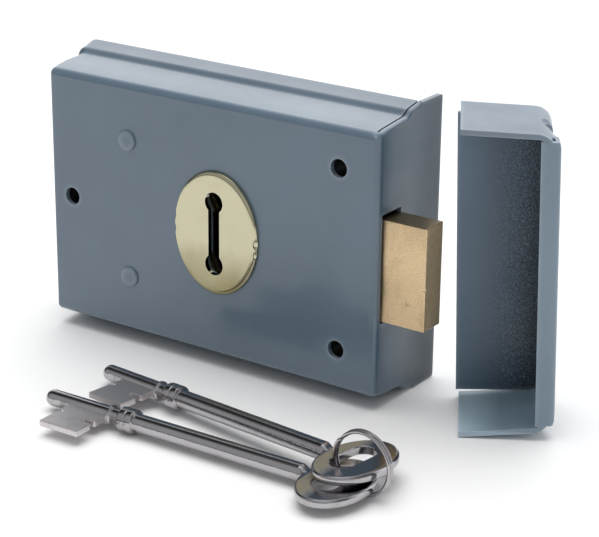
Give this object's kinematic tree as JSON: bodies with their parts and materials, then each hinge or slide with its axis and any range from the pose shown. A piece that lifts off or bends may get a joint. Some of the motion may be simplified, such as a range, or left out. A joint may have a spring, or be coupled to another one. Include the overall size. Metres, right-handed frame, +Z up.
{
  "type": "rim lock set",
  "caption": "Surface-mounted folded-steel rim lock with a square brass bolt, double-ended keyhole, box staple and lever keys on a split ring.",
  "frame": {"origin": "Middle of the lock case's rear face, which lies against the door.", "axes": "+X is the way the bolt is thrown, +Y points into the door, +Z is up."},
  "size_m": [0.167, 0.1001, 0.086],
  "materials": {
    "case_paint": "smooth grey-blue stoved paint",
    "plated_plate": "zinc-plated sheet",
    "pale_brass": "polished pale brass",
    "rivet_steel": "dull steel",
    "tube_steel": "plain steel tube",
    "bolt_brass": "satin extruded brass with worn edges",
    "lever_brass": "stamped brass",
    "spring_steel": "drawn spring wire",
    "key_nickel": "bright nickel plate"
  },
  "bodies": {
    "lock": {"case_shell": "case_paint", "back_plate": "plated_plate", "escutcheon": "pale_brass", "pillar_upper": "rivet_steel", "pillar_lower": "rivet_steel", "screw_tube_1": "tube_steel", "screw_tube_2": "tube_steel", "screw_tube_3": "tube_steel", "lever_spring_1": "spring_steel", "lever_spring_2": "spring_steel"},
    "bolt": {"bolt_head": "bolt_brass", "bolt_tail": "plated_plate", "bolt_rivet_1": "rivet_steel", "bolt_rivet_2": "rivet_steel", "bolt_stump": "rivet_steel"},
    "lever_a": {"lever_1": "lever_brass"},
    "lever_b": {"lever_2": "lever_brass"},
    "box_staple": {"staple": "case_paint"},
    "ring": {"key_ring": "key_nickel"},
    "key_a": {"front_key": "key_nickel"},
    "key_b": {"rear_key": "key_nickel"}
  },
  "joints": [
    {"name": "bolt_slide", "type": "slide", "parent": "lock", "child": "bolt", "axis": [1, 0, 0], "range_m": [-0.0135, 0]},
    {"name": "lever_1_pivot", "type": "hinge", "parent": "lock", "child": "lever_a", "pos_m": [-0.0283, -0.0071, 0.0209], "axis": [0, 1, 0], "range_deg": [0, 4], "deforming": ["lever_spring_1"]},
    {"name": "lever_2_pivot", "type": "hinge", "parent": "lock", "child": "lever_b", "pos_m": [-0.0283, -0.0051, -0.0209], "axis": [0, 1, 0], "range_deg": [0, 4], "deforming": ["lever_spring_2"]},
    {"name": "staple_lift", "type": "slide", "parent": "lock", "child": "box_staple", "axis": [0, 0, 1], "range_m": [0, 0.1]},
    {"name": "key_ring_lift", "type": "slide", "parent": "lock", "child": "ring", "axis": [0, 0, 1], "range_m": [0, 0.1]},
    {"name": "front_key_swing", "type": "hinge", "parent": "ring", "child": "key_a", "pos_m": [0.0757, -0.0652, -0.0385], "axis": [0, 0, 1], "range_deg": [-1, 6]},
    {"name": "rear_key_swing", "type": "hinge", "parent": "ring", "child": "key_b", "pos_m": [0.0741, -0.0651, -0.0356], "axis": [0, 0, 1], "range_deg": [-5, 1]}
  ],
  "couplings": [
    {"joint": "lever_1_pivot", "follows": "bolt_slide", "rad_per_m": -5.17},
    {"joint": "lever_2_pivot", "follows": "bolt_slide", "rad_per_m": -5.17}
  ]
}
